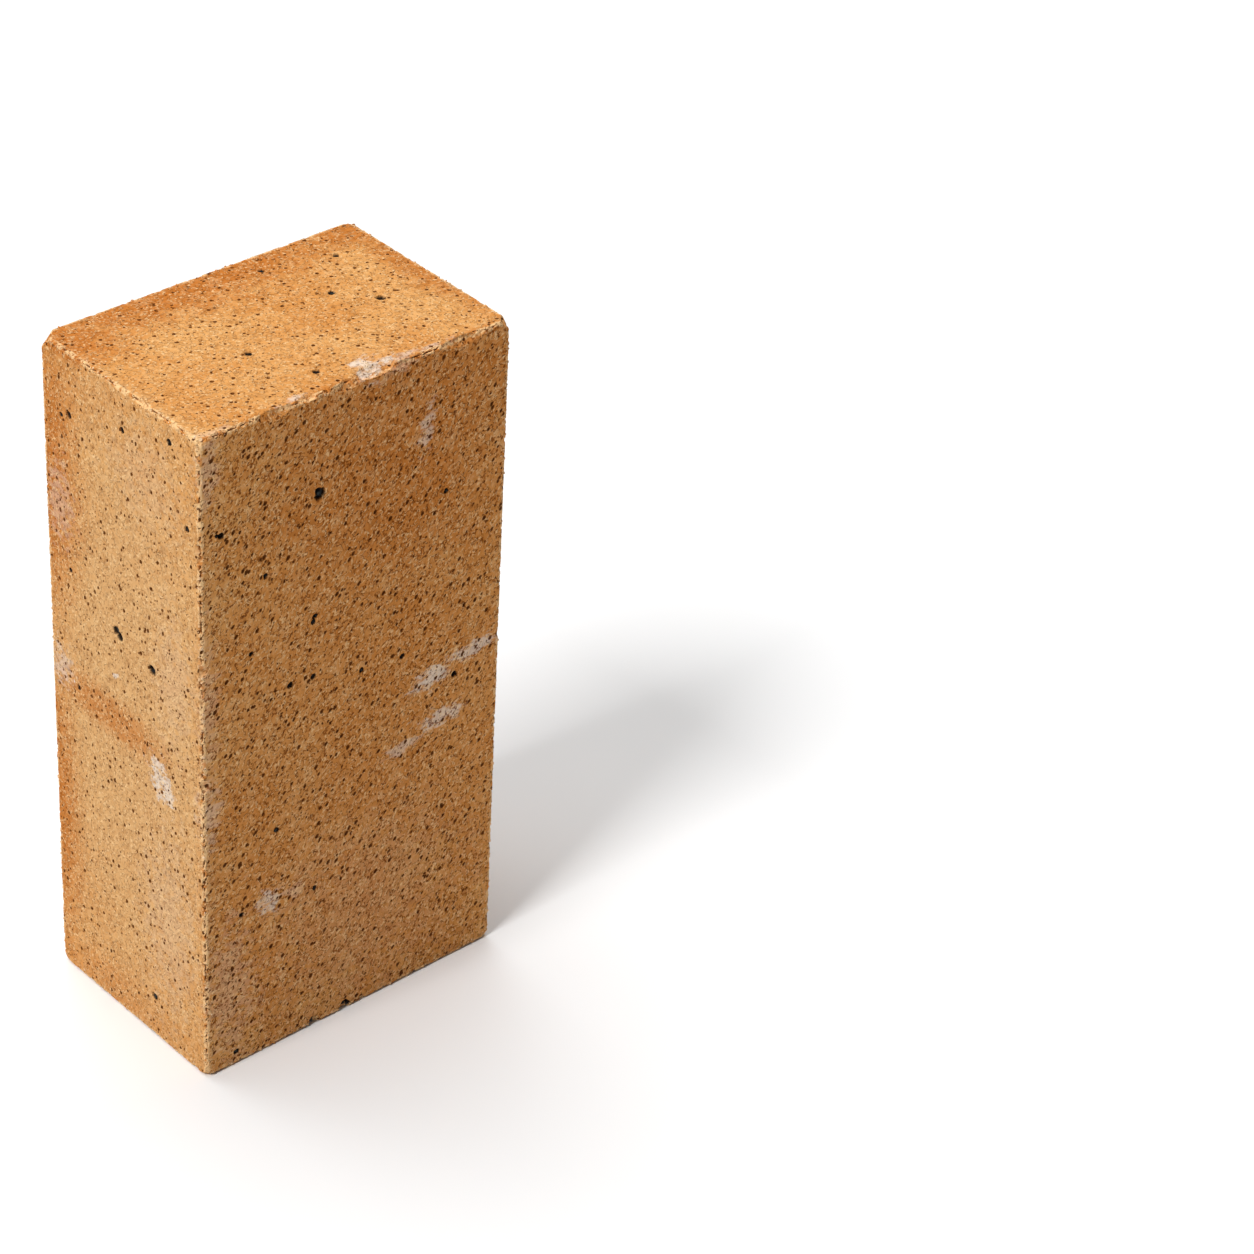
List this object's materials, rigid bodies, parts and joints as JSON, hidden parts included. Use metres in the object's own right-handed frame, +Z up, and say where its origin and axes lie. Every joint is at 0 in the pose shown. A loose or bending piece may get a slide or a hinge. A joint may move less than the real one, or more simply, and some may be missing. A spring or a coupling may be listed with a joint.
{
  "type": "refractory firebrick",
  "caption": "Straight refractory firebrick: a dense fired-clay block with worn, chipped arrises, standing on its end, for lining kilns, ovens and hearths.",
  "frame": {"origin": "centre of the 114 x 76 mm end face that the brick stands on", "axes": "+Z up along the 230 mm length, X across the 114 mm width of the bed faces, Y through the 76 mm thickness"},
  "size_m": [0.114, 0.076, 0.23],
  "materials": {
    "fireclay": "matt, open-pored fired fireclay with light grog and dark iron spots"
  },
  "bodies": {
    "root": {"firebrick": "fireclay"}
  },
  "joints": []
}
